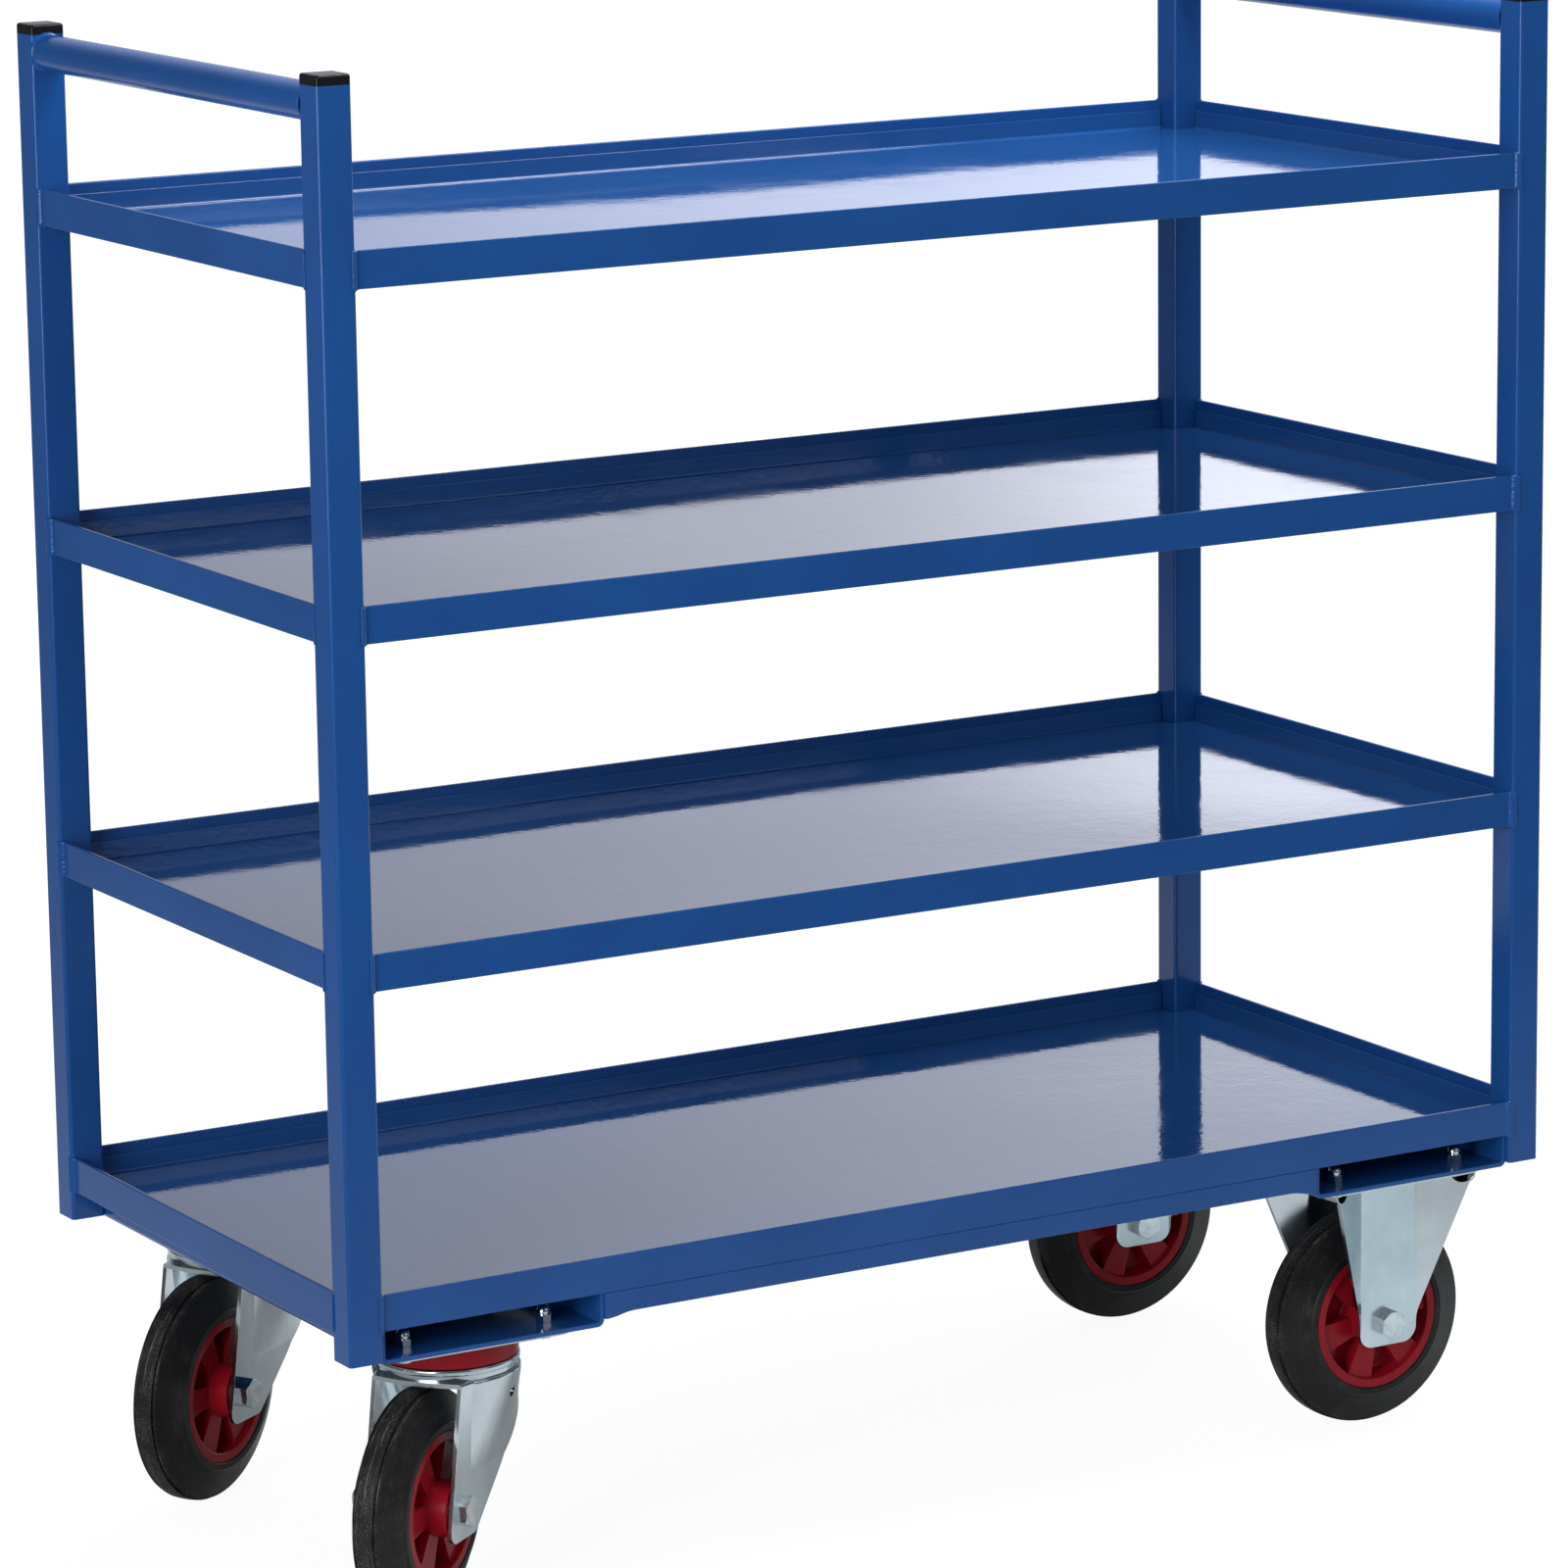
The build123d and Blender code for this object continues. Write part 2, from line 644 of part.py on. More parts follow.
nodes["fixed_axle_bolts"] = group(place * axle_bolt(0) for place in fixed_places.values())
nodes["fixed_axle_nuts"] = group(place * axle_nut(0) for place in fixed_places.values())
nodes["fixed_axle_sleeves"] = group(place * axle_sleeve(0) for place in fixed_places.values())
for name, place in fixed_places.items():
    nodes[f"fixed_bracket_{name}"] = place * fixed_bracket()
    nodes[f"tyre_{name}_right"] = place * tyre(0)
    nodes[f"wheel_centre_{name}_right"] = place * wheel_centre(0, spoke_angle[f"{name}_right"])
    nodes[f"roller_bearing_{name}_right"] = place * roller_bearing(0)

for name, place in swivel_places.items():
    nodes[f"swivel_plate_{name}"] = Pos(-castor_x, sides[name] * castor_y, 0) * swivel_plate()
    nodes[f"kingpin_{name}"] = place * kingpin()
    nodes[f"dust_ring_{name}"] = place * dust_ring()
    nodes[f"swivel_bearing_{name}"] = place * swivel_bearing()
    nodes[f"swivel_fork_{name}"] = place * swivel_fork()
    nodes[f"swivel_axle_bolt_{name}"] = place * axle_bolt(trail)
    nodes[f"swivel_axle_nut_{name}"] = place * axle_nut(trail)
    nodes[f"swivel_axle_sleeve_{name}"] = place * axle_sleeve(trail)
    nodes[f"tyre_{name}_left"] = place * tyre(trail)
    nodes[f"wheel_centre_{name}_left"] = place * wheel_centre(trail, spoke_angle[f"{name}_left"])
    nodes[f"roller_bearing_{name}_left"] = place * roller_bearing(trail)

os.makedirs("parts", exist_ok=True)
for name, shape in nodes.items():
    export_step(shape, f"parts/{name}.step")
print(len(nodes), "nodes written")
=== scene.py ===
import json
import math
import random

import bmesh
import bpy
from mathutils import Matrix, Vector


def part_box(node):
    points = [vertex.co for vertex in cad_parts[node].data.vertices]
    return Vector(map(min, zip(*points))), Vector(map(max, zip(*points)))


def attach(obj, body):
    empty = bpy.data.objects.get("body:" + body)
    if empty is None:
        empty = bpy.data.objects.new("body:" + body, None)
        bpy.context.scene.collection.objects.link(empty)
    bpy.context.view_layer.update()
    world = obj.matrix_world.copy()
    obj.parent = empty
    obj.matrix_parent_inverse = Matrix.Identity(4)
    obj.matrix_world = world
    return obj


# Finishes, weld beads, bolt pockets, studio and camera for a blue shelf trolley.
# All lengths are in metres, in the frame's own axes.

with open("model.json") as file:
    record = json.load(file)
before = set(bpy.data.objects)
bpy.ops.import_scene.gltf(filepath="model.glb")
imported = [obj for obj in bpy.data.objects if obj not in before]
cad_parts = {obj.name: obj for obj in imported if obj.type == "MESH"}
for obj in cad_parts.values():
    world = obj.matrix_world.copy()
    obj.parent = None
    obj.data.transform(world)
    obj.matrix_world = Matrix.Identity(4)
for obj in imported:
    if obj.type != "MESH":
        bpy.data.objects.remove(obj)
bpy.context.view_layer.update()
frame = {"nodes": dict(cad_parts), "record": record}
nodes = frame["nodes"]

MM = 0.001


# Node trees

def add(tree, kind, inputs=None, **settings):
    """Place a shader node. Inputs go by socket name or number; a socket as a value is linked."""
    node = tree.nodes.new("ShaderNode" + kind)
    for name, value in settings.items():
        setattr(node, name, value)
    for name, value in (inputs or {}).items():
        if isinstance(value, bpy.types.NodeSocket):
            tree.links.new(value, node.inputs[name])
        else:
            node.inputs[name].default_value = value
    return node


def math_node(tree, operation, *values):
    """One Math node, as its output socket."""
    return add(tree, "Math", dict(enumerate(values)), operation=operation).outputs[0]


def scaled(tree, value, gain, base=0.0):
    """Value times gain, plus base."""
    return math_node(tree, "MULTIPLY_ADD", value, gain, base)


def dot(tree, vector, axis):
    """How far a vector reaches along an axis."""
    return add(tree, "VectorMath", {0: vector, 1: axis}, operation="DOT_PRODUCT").outputs["Value"]


def stretched(tree, vector, scale):
    """Vector multiplied axis by axis."""
    return add(tree, "VectorMath", {0: vector, 1: scale}, operation="MULTIPLY").outputs["Vector"]


def ramp(tree, value, low, high, start=0.0, end=1.0):
    """Value taken from low..high to start..end, with soft ends."""
    inputs = {"Value": value, "From Min": low, "From Max": high, "To Min": start, "To Max": end}
    return add(tree, "MapRange", inputs, interpolation_type="SMOOTHSTEP").outputs[0]


def line(tree, value, start, end, low=0.0, high=1.0):
    """Value taken from low..high to start..end, in a straight line."""
    inputs = {"Value": value, "From Min": low, "From Max": high, "To Min": start, "To Max": end}
    return add(tree, "MapRange", inputs).outputs[0]


def mix_colour(tree, mask, first, second):
    """First colour where the mask is 0, second where it is 1."""
    node = add(tree, "Mix", {"Factor": mask}, data_type="RGBA")
    for name, value in (("A", first), ("B", second)):
        socket = next(s for s in node.inputs if s.name == name and s.type == "RGBA")
        if isinstance(value, bpy.types.NodeSocket):
            tree.links.new(value, socket)
        else:
            socket.default_value = (*value, 1.0)
    return next(s for s in node.outputs if s.type == "RGBA")


def noise(tree, scale, detail=2.0, roughness=0.5, vector=None):
    """Noise on the piece's own coordinates, in cells per metre."""
    if vector is None:
        vector = add(tree, "TexCoord").outputs["Object"]
    inputs = {"Vector": vector, "Scale": scale, "Detail": detail, "Roughness": roughness}
    return add(tree, "TexNoise", inputs).outputs["Fac"]


def effect_group(name, inputs, outputs):
    """Shader group with named value inputs and outputs."""
    tree = bpy.data.node_groups.new(name, "ShaderNodeTree")
    for socket, value in inputs.items():
        entry = tree.interface.new_socket(socket, in_out="INPUT", socket_type="NodeSocketFloat")
        entry.default_value = value
    for socket in outputs:
        tree.interface.new_socket(socket, in_out="OUTPUT", socket_type="NodeSocketFloat")
    return tree, tree.nodes.new("NodeGroupInput").outputs, tree.nodes.new("NodeGroupOutput").inputs


def use(tree, group, **values):
    """Place a shared effect in a material with its own values."""
    node = tree.nodes.new("ShaderNodeGroup")
    node.node_tree = group
    for name, value in values.items():
        node.inputs[name].default_value = value
    return node.outputs


# Shared effects

def make_orange_peel():
    """Shallow dimples of a sprayed or powder-coated surface."""
    tree, given, out = effect_group("orange_peel", {"Cells": 260.0}, ["Height"])
    fine = noise(tree, given["Cells"], detail=1.0)
    broad = noise(tree, scaled(tree, given["Cells"], 0.22), detail=1.0)
    tree.links.new(scaled(tree, broad, 1.6, fine), out["Height"])
    return tree


def make_edges_and_chips():
    """Mask of the sharp edges, and of the scattered chips and rubbed spots along them."""
    inputs = {"Radius": 1.2 * MM, "Cells": 300.0, "Cover": 0.4}
    tree, given, out = effect_group("edges_and_chips", inputs, ["Edge", "Chips"])
    rounded = add(tree, "Bevel", {"Radius": given["Radius"]}, samples=4).outputs[0]
    straight = add(tree, "NewGeometry").outputs["Normal"]
    turned = math_node(tree, "SUBTRACT", 1.0, dot(tree, rounded, straight))
    edge = ramp(tree, turned, 0.03, 0.25)
    spots = noise(tree, given["Cells"], detail=3.0, roughness=0.6)
    patches = noise(tree, scaled(tree, given["Cells"], 0.08), detail=2.0)
    level = math_node(tree, "SUBTRACT", math_node(tree, "ADD", spots, patches), given["Cover"])
    tree.links.new(edge, out["Edge"])
    tree.links.new(math_node(tree, "MULTIPLY", edge, ramp(tree, level, 0.0, 0.06)), out["Chips"])
    return tree


def make_plating_bloom():
    """Cloudy tone of plated steel, streaks along the rolling direction, and fine grain."""
    inputs = {"Cells": 60.0, "Streak": 8.0}
    tree, given, out = effect_group("plating_bloom", inputs, ["Cloud", "Streaks", "Grain"])
    place = add(tree, "TexCoord").outputs["Object"]
    stretch = add(tree, "CombineXYZ", {0: given["Streak"], 1: given["Streak"], 2: 1.0}).outputs[0]
    drawn = stretched(tree, place, stretch)
    fine_cells = scaled(tree, given["Cells"], 30.0)
    tree.links.new(noise(tree, given["Cells"], detail=4.0, roughness=0.62), out["Cloud"])
    tree.links.new(noise(tree, given["Cells"], detail=3.0, vector=drawn), out["Streaks"])
    tree.links.new(noise(tree, fine_cells, detail=2.0), out["Grain"])
    return tree


def make_specks():
    """Scattered small specks, and the fine grain between them."""
    tree, given, out = effect_group("specks", {"Cells": 900.0, "Cover": 0.62}, ["Specks", "Grain"])
    fine = noise(tree, given["Cells"], detail=2.0, roughness=0.7)
    patches = noise(tree, scaled(tree, given["Cells"], 0.05), detail=2.0)
    level = math_node(tree, "MULTIPLY", fine, scaled(tree, patches, 0.6, 0.7))
    full = math_node(tree, "ADD", given["Cover"], 0.08)
    tree.links.new(line(tree, level, 0.0, 1.0, low=given["Cover"], high=full), out["Specks"])
    tree.links.new(fine, out["Grain"])
    return tree


orange_peel = make_orange_peel()
edges_and_chips = make_edges_and_chips()
plating_bloom = make_plating_bloom()
specks = make_specks()


# Materials

def principled(name, **values):
    """Material with one Principled shader, whose plain sockets are set by name."""
    material = bpy.data.materials.new(name)
    material.use_nodes = True
    tree = material.node_tree
    shader = tree.nodes["Principled BSDF"]
    for socket, value in values.items():
        shader.inputs[socket.replace("_", " ")].default_value = value
    return material, tree, shader


def feed(tree, shader, colour, rough):
    """Link the colour and the roughness that change over the surface."""
    tree.links.new(colour, shader.inputs["Base Color"])
    tree.links.new(rough, shader.inputs["Roughness"])


def bump(tree, shader, height, distance):
    """Raise the surface's shading by a height, where 1 stands for the distance."""
    node = add(tree, "Bump", {"Height": height, "Distance": distance, "Strength": 1.0})
    tree.links.new(node.outputs["Normal"], shader.inputs["Normal"])


def blue_frame_paint():
    """Gloss powder coat of the welded frame, with a few chips on its edges."""
    material, tree, shader = principled("blue_frame_paint", Specular_IOR_Level=0.28, IOR=1.5)
    paint, deep, primer = (0.0105, 0.072, 0.268), (0.009, 0.063, 0.238), (0.03, 0.035, 0.045)
    tone = ramp(tree, noise(tree, 9.0, detail=3.0), 0.3, 0.7)
    edge_marks = use(tree, edges_and_chips, Radius=1.0 * MM, Cells=420.0, Cover=1.16)
    colour = mix_colour(tree, edge_marks["Chips"], mix_colour(tree, tone, paint, deep), primer)
    rough = scaled(tree, edge_marks["Chips"], 0.35, scaled(tree, tone, 0.05, 0.16))
    feed(tree, shader, colour, rough)
    bump(tree, shader, use(tree, orange_peel, Cells=330.0)["Height"], 0.05 * MM)
    return material


def blue_tray_paint():
    """High gloss of the trays, with faint smears in the shine and a slight bow of the thin sheet."""
    material, tree, shader = principled("blue_tray_paint", Specular_IOR_Level=0.62, IOR=1.5)
    paint, deep = (0.0145, 0.081, 0.28), (0.013, 0.073, 0.255)
    tone = ramp(tree, noise(tree, 5.0, detail=3.0), 0.3, 0.7)
    smear = ramp(tree, noise(tree, 14.0, detail=4.0, roughness=0.6), 0.42, 0.72)
    feed(tree, shader, mix_colour(tree, tone, paint, deep), scaled(tree, smear, 0.05, 0.05))
    peel = use(tree, orange_peel, Cells=200.0)["Height"]
    bow = noise(tree, 2.4, detail=0.0)
    bump(tree, shader, scaled(tree, bow, 120.0, peel), 0.045 * MM)
    return material


def zinc_sheet():
    """Bright zinc on pressed steel: cloudy, faintly streaked and a little blue, with every sharp edge
    painted lighter as a highlight and some rubbed wear.
    """
    material, tree, shader = principled("zinc_sheet", Metallic=1.0)
    dark, pale, edge_highlight_and_rub = (0.41, 0.48, 0.52), (0.59, 0.675, 0.725), (0.82, 0.84, 0.85)
    bloom = use(tree, plating_bloom, Cells=13.0, Streak=2.2)
    edge_marks = use(tree, edges_and_chips, Radius=0.7 * MM, Cells=500.0, Cover=0.75)
    cloud = ramp(tree, bloom["Cloud"], 0.3, 0.72)
    streaks = ramp(tree, bloom["Streaks"], 0.35, 0.7)
    tone = scaled(tree, cloud, 0.6, scaled(tree, streaks, 0.4))
    colour = mix_colour(tree, tone, dark, pale)
    # Painted highlight: every sharp edge is made lighter, partly also rubbed wear.
    colour = mix_colour(tree, scaled(tree, edge_marks["Edge"], 0.5), colour, edge_highlight_and_rub)
    rough = scaled(tree, bloom["Grain"], 0.04, scaled(tree, streaks, 0.10, 0.12))
    feed(tree, shader, colour, rough)
    bump(tree, shader, bloom["Streaks"], 0.02 * MM)
    return material


def zinc_fastener():
    """Bright zinc on bolts, nuts and pins: smoother than the sheet, so each flat has its own shine."""
    material, tree, shader = principled("zinc_fastener", Metallic=1.0)
    dark, pale = (0.40, 0.46, 0.49), (0.64, 0.69, 0.72)
    bloom = use(tree, plating_bloom, Cells=90.0, Streak=1.0)
    cloud = ramp(tree, bloom["Cloud"], 0.3, 0.72)
    feed(tree, shader, mix_colour(tree, cloud, dark, pale), scaled(tree, cloud, 0.08, 0.13))
    return material


def polished_nut():
    """Plated dome, almost a mirror."""
    material, tree, shader = principled("polished_nut", Metallic=1.0)
    dark, pale = (0.62, 0.64, 0.66), (0.80, 0.81, 0.82)
    bloom = use(tree, plating_bloom, Cells=220.0, Streak=1.0)
    colour = mix_colour(tree, bloom["Cloud"], dark, pale)
    feed(tree, shader, colour, scaled(tree, bloom["Grain"], 0.10, 0.08))
    return material


def red_plastic():
    """Moulded polypropylene of the wheel centres and dust rings."""
    material, tree, shader = principled("red_plastic", Specular_IOR_Level=0.16, IOR=1.49)
    deep, red, edge_highlight_and_rub = (0.228, 0.0040, 0.0105), (0.275, 0.0062, 0.0145), (0.45, 0.05, 0.06)
    edge_marks = use(tree, edges_and_chips, Radius=1.0 * MM, Cells=350.0, Cover=0.9)
    dots = use(tree, specks, Cells=700.0, Cover=0.60)
    tone = ramp(tree, noise(tree, 30.0, detail=4.0), 0.3, 0.7)
    colour = mix_colour(tree, tone, deep, red)
    # Painted highlight: every sharp edge is made a lighter red, partly also rubbed wear.
    colour = mix_colour(tree, scaled(tree, edge_marks["Edge"], 0.35), colour, edge_highlight_and_rub)
    rough = scaled(tree, dots["Specks"], 0.15, scaled(tree, tone, 0.08, 0.20))
    feed(tree, shader, colour, rough)
    bump(tree, shader, dots["Grain"], 0.02 * MM)
    return material


def tyre_rubber():
    """Solid black rubber: a dusty tread with streaks that run round the wheel, and smooth flanks."""
    material, tree, shader = principled("tyre_rubber", Specular_IOR_Level=0.16, IOR=1.5)
    black, worn_black, dust = (0.008, 0.008, 0.009), (0.014, 0.014, 0.015), (0.20, 0.19, 0.175)
    dots = use(tree, specks, Cells=1100.0, Cover=0.56)
    place = add(tree, "Attribute", attribute_name="tread").outputs["Vector"]
    across = math_node(tree, "ABSOLUTE", add(tree, "SeparateXYZ", {0: place}).outputs["X"])
    tread = ramp(tree, across, 11.0 * MM, 8.0 * MM)
    drawn = stretched(tree, place, (1.0, 0.05, 0.05))
    streaks = ramp(tree, noise(tree, 520.0, detail=4.0, roughness=0.7, vector=drawn), 0.50, 0.70)
    patches = ramp(tree, noise(tree, 45.0, detail=4.0, roughness=0.65), 0.35, 0.70)
    dusty = scaled(tree, dots["Specks"], 0.45, math_node(tree, "MULTIPLY", streaks, patches))
    dusty = math_node(tree, "MULTIPLY", dusty, scaled(tree, tread, 0.6, 0.12))
    colour = mix_colour(tree, dusty, mix_colour(tree, patches, black, worn_black), dust)
    rough = scaled(tree, tread, 0.14, scaled(tree, patches, 0.10, 0.36))
    feed(tree, shader, colour, rough)
    bump(tree, shader, math_node(tree, "ADD", dots["Grain"], streaks), 0.08 * MM)
    return material


def black_plastic():
    """Satin moulded plastic of the end caps."""
    material, tree, shader = principled("black_plastic", Specular_IOR_Level=0.18, IOR=1.49)
    black, edge_highlight_and_rub = (0.007, 0.007, 0.009), (0.022, 0.022, 0.026)
    dots = use(tree, specks, Cells=1400.0, Cover=0.6)
    edge_marks = use(tree, edges_and_chips, Radius=1.0 * MM, Cells=500.0, Cover=0.9)
    # Painted highlight: every sharp edge is made lighter, partly also rubbed wear.
    colour = mix_colour(tree, scaled(tree, edge_marks["Edge"], 0.4), black, edge_highlight_and_rub)
    feed(tree, shader, colour, scaled(tree, dots["Specks"], 0.2, 0.30))
    bump(tree, shader, dots["Grain"], 0.05 * MM)
    return material


def ground_steel():
    """Bare ground steel of bearings and sleeves, with a thin film of grease."""
    material, tree, shader = principled("ground_steel", Metallic=1.0)
    dark, pale = (0.30, 0.30, 0.30), (0.48, 0.48, 0.49)
    bloom = use(tree, plating_bloom, Cells=150.0, Streak=1.0)
    colour = mix_colour(tree, bloom["Cloud"], dark, pale)
    feed(tree, shader, colour, scaled(tree, bloom["Grain"], 0.2, 0.25))
    return material


finishes = {
    "blue_frame": blue_frame_paint(),
    "blue_tray": blue_tray_paint(),
    "zinc_sheet": zinc_sheet(),
    "zinc_fastener": zinc_fastener(),
    "bright_nut": polished_nut(),
    "red_plastic": red_plastic(),
    "tyre": tyre_rubber(),
    "black_plastic": black_plastic(),
    "steel": ground_steel(),
}


# Pieces carried over from the CAD

merge_gap = 0.002 * MM
flat_angle = math.radians(0.6)
sharp_angle = math.radians(35.0)
edge_segments = 2
edge_widths = {
    "long_rails": 0.7 * MM,
    "end_rails": 0.7 * MM,
    "stiffener": 0.6 * MM,
    "castor_channel": 0.6 * MM,
    "tray": 0.4 * MM,
    "fixed_bracket": 0.6 * MM,
    "swivel_fork": 0.6 * MM,
    "swivel_plate": 0.6 * MM,
    "dust_ring": 0.6 * MM,
    "wheel_centre": 0.8 * MM,
    "castor_bolts": 0.3 * MM,
    "fixed_axle_bolts": 0.4 * MM,
    "swivel_axle_bolt": 0.4 * MM,
    "fixed_axle_nuts": 0.4 * MM,
    "swivel_axle_nut": 0.4 * MM,
}


def soften(piece, width):
    """Round a piece's sharp edges, as its coating or forming does."""
    weld = piece.modifiers.new("weld", "WELD")
    weld.merge_threshold = merge_gap
    flat = piece.modifiers.new("flat_faces", "DECIMATE")
    flat.decimate_type = "DISSOLVE"
    flat.angle_limit = flat_angle
    edge = piece.modifiers.new("soft_edges", "BEVEL")
    edge.width = width
    edge.segments = edge_segments
    edge.limit_method = "ANGLE"
    edge.angle_limit = sharp_angle
    edge.miter_outer = "MITER_ARC"
    edge.use_clamp_overlap = True
    normals = piece.modifiers.new("even_normals", "WEIGHTED_NORMAL")
    normals.weight = 50
    normals.keep_sharp = False


for subpart in frame["record"]["subparts"]:
    piece = nodes[subpart["node"]]
    for place in piece.material_slots:
        place.material = finishes[subpart["material_slot"]]
    for family, edge_width in edge_widths.items():
        if subpart["node"].startswith(family):
            soften(piece, edge_width)


def mark_tread(tyre, axle):
    """Give a tyre its own coordinates: across the tread, and level and upright from the axle."""
    centre, axis = Vector(axle["pos_m"]), Vector(axle["axis"])
    level = axis.cross(Vector((0, 0, 1)))
    marks = tyre.data.attributes.new("tread", "FLOAT_VECTOR", "POINT").data
    for vertex, mark in zip(tyre.data.vertices, marks):
        arm = vertex.co - centre
        mark.vector = (arm.dot(axis), arm.dot(level), arm.z)


for joint in frame["record"]["behaviour"]["joints"]:
    if joint["child"].startswith("wheel_"):
        mark_tread(nodes[joint["child"].replace("wheel_", "tyre_")], joint)


def finish_piece(name, mesh, slot, body="frame"):
    """Make a mesh into one piece that rides on a body and takes the finish of a material slot."""
    bmesh.ops.recalc_face_normals(mesh, faces=mesh.faces)
    data = bpy.data.meshes.new(name)
    mesh.to_mesh(data)
    mesh.free()
    for face in data.polygons:
        face.use_smooth = True
    piece = bpy.data.objects.new(name, data)
    bpy.context.scene.collection.objects.link(piece)
    data.materials.append(finishes[slot])
    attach(piece, body)
    return piece


def join_rings(mesh, first, second):
    """Faces between two rings of as many points."""
    for k in range(len(first)):
        n = (k + 1) % len(first)
        mesh.faces.new((first[k], first[n], second[n], second[k]))


# Weld beads

bead_step = 0.7 * MM
bead_sides = 10
ripple_pitch = 1.7 * MM
ripple_depth = 0.16
bead_swell = (0.92, 1.1)
bead_wobble = (0.95, 1.05)
bead_random = random.Random(11)

rail_set_back = 2.5 * MM
bead_reach = 3.0 * MM
bead_overrun = 0.8 * MM
bead_seat = 0.3 * MM
face_bead = {"half_width": 3.4 * MM, "half_depth": 1.2 * MM}
face_bead_rise = 0.35
face_bead_shift = 0.2 * MM
leg_bead = {"half_width": 2.6 * MM, "half_depth": 1.5 * MM}
leg_bead_inset = 1.0 * MM
leg_bead_length = 20.0 * MM

ring_bead = {"half_width": 2.3 * MM, "half_depth": 0.9 * MM}
ring_points = 88
ring_sink = 0.1 * MM
ring_offset = 0.6 * MM


def end_form(share):
    """Size of an open bead, from -1 to 1 along it: fuller towards its ends, and round at them."""
    return math.sqrt(max(0.02, 1.0 - abs(share) ** 14)) * (1.0 + 0.22 * abs(share) ** 6)


def bead(mesh, points, outs, half_width, half_depth, closed=False):
    """Weld bead along points: a rippled flat oval, with its thickness along the out vectors."""
    count = len(points)
    travelled = 0.0
    rings = []
    swell = bead_random.uniform(*bead_swell)
    for i, (point, out) in enumerate(zip(points, outs)):
        before = points[i - 1] if i or closed else point
        after = points[(i + 1) % count] if i + 1 < count or closed else point
        along = (after - before).normalized()
        across = along.cross(out).normalized()
        travelled += (point - points[i - 1]).length if i else 0.0
        ripple = 1.0 + ripple_depth * abs(math.sin(math.pi * travelled / ripple_pitch))
        size = swell * ripple * bead_random.uniform(*bead_wobble)
        if not closed:
            size *= end_form(2.0 * i / (count - 1) - 1.0)
        ring = []
        for k in range(bead_sides):
            turn = 2.0 * math.pi * k / bead_sides
            offset = across * (half_width * math.cos(turn)) + out * (half_depth * math.sin(turn))
            ring.append(mesh.verts.new(point + size * offset))
        rings.append(ring)
    for first, second in zip(rings, rings[1:]):
        join_rings(mesh, first, second)
    if closed:
        join_rings(mesh, rings[-1], rings[0])
    else:
        mesh.faces.new(reversed(rings[0]))
        mesh.faces.new(rings[-1])


def straight_bead(mesh, start, end, out, form):
    """Bead from start to end."""
    count = max(4, round((end - start).length / bead_step))
    points = [start.lerp(end, i / count) for i in range(count + 1)]
    bead(mesh, points, [out] * (count + 1), **form)


def rail_end_beads(mesh, corner, rail_way, face_way, low, high, under):
    """Beads where a rail meets an upright: down its outer face and, with room, under its flat leg."""
    across = (face_way * rail_set_back - rail_way * bead_reach).normalized()
    out = (face_way * bead_reach + rail_way * rail_set_back).normalized()
    middle = corner + face_way * face_bead_rise * rail_set_back + across * face_bead_shift
    foot, head = middle.copy(), middle.copy()
    foot.z, head.z = low - bead_overrun, high + bead_overrun
    straight_bead(mesh, foot, head, out, face_bead)
    if under:
        start = corner - face_way * leg_bead_inset + rail_way * bead_seat
        start.z = low - bead_seat
        end = start - face_way * leg_bead_length
        down = Vector((0, 0, -1))
        straight_bead(mesh, start, end, (rail_way + down).normalized(), leg_bead)


def along_axis(axis, length):
    """Vector of a length along one axis."""
    vector = Vector((0, 0, 0))
    vector[axis] = length
    return vector


shelf_count = sum(1 for name in nodes if name.startswith("tray_"))
for n in range(1, shelf_count + 1):
    shelf_welds = bmesh.new()
    for family, rail_axis, face_axis in (("long_rails", 0, 1), ("end_rails", 1, 0)):
        lowest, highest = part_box(f"{family}_{n}")
        for rail_end in (-1, 1):
            for face_end in (-1, 1):
                corner = along_axis(rail_axis, highest[rail_axis] * rail_end)
                corner += along_axis(face_axis, highest[face_axis] * face_end)
                rail_way = along_axis(rail_axis, -rail_end)
                face_way = along_axis(face_axis, face_end)
                rail_end_beads(shelf_welds, corner, rail_way, face_way, lowest.z, highest.z, n > 1)
    finish_piece(f"shelf_welds_{n}", shelf_welds, "blue_frame")

handle_welds = bmesh.new()
for side in ("left", "right"):
    lowest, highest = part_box(f"handle_{side}")
    centre = (lowest + highest) / 2
    radius = (highest.z - lowest.z) / 2
    for end in (-1, 1):
        middle = Vector((centre.x, end * highest.y, centre.z))
        toward = Vector((0, -end, 0))
        turns = [2 * math.pi * k / ring_points for k in range(ring_points)]
        spokes = [Vector((math.cos(t), 0, math.sin(t))) for t in turns]
        points = [middle + spoke * (radius - ring_sink) + toward * ring_offset for spoke in spokes]
        outs = [(spoke + toward).normalized() for spoke in spokes]
        bead(handle_welds, points, outs, closed=True, **ring_bead)
finish_piece("handle_welds", handle_welds, "blue_frame")


# Bolt pockets of the fixed brackets

bracket_bolt_inset = 15.0 * MM
bracket_plate = 4.0 * MM
pocket_radius = 7.0 * MM
pocket_sheet = 1.5 * MM
pocket_back = 32.5 * MM
pocket_edge = 0.4 * MM
pocket_steps = 20
wing_lean = 0.6
wing_reach = 50.3 * MM


